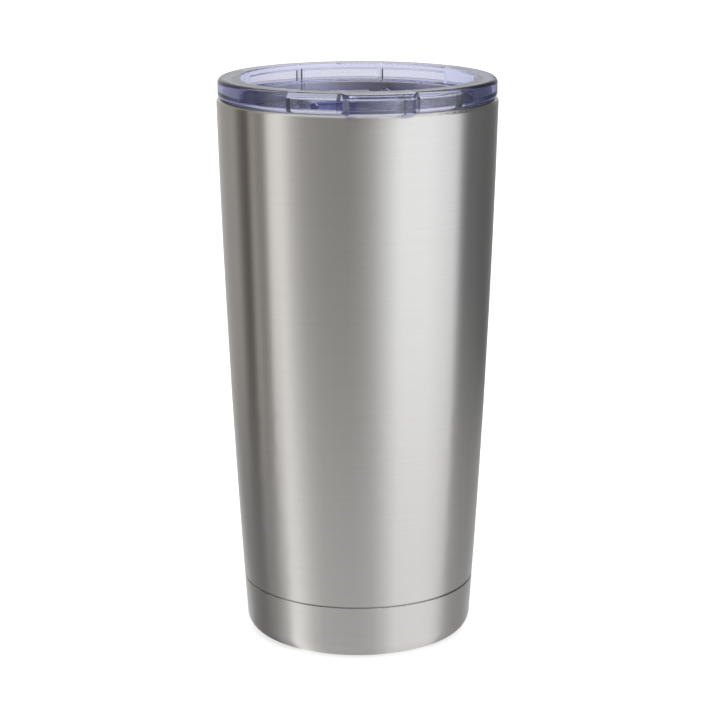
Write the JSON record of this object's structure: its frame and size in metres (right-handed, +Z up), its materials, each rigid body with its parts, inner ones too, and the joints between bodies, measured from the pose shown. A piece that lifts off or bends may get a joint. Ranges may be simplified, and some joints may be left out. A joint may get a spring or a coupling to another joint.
{
  "type": "insulated tumbler with lid",
  "caption": "Tapered double-wall steel tumbler with a pressed-on base cup and a clear press-in lid with thumb tab, drink hole and slide closure; keeps drinks hot or cold.",
  "frame": {"origin": "centre of the foot, in the plane that the tumbler stands on and on the cup's axis", "axes": "+Z up along the cup's axis, -Y towards the lid's thumb tab, +Y towards the drink hole, +X to the right when facing the tab"},
  "size_m": [0.086, 0.0886, 0.175],
  "materials": {
    "brushed_shell": "brushed round the body",
    "brushed_base": "brushed round the base",
    "liner_steel": "satin, spun",
    "plate_steel": "pressed sheet",
    "solder_glass": "fused glass drop",
    "getter_metal": "sintered powder",
    "clear_plastic": "clear moulding with a faint violet-blue tint",
    "clear_slider": "clear moulding with a faint violet-blue tint",
    "silicone": "clear grey silicone, slightly frosted"
  },
  "bodies": {
    "cup": {"outer_shell": "brushed_shell", "inner_liner": "liner_steel", "outer_bottom": "plate_steel", "seal_glass": "solder_glass", "getter_holder": "plate_steel", "getter_pill": "getter_metal", "base_cup": "brushed_base"},
    "lid": {"lid_body": "clear_plastic", "lid_gasket": "silicone"},
    "slide_closure": {"slider": "clear_slider"}
  },
  "joints": [
    {"name": "lid_lift", "type": "slide", "parent": "cup", "child": "lid", "axis": [0, 0, 1], "range_m": [0, 0.06]},
    {"name": "closure_slide", "type": "slide", "parent": "lid", "child": "slide_closure", "axis": [0, -1, 0], "range_m": [0, 0.014]}
  ]
}
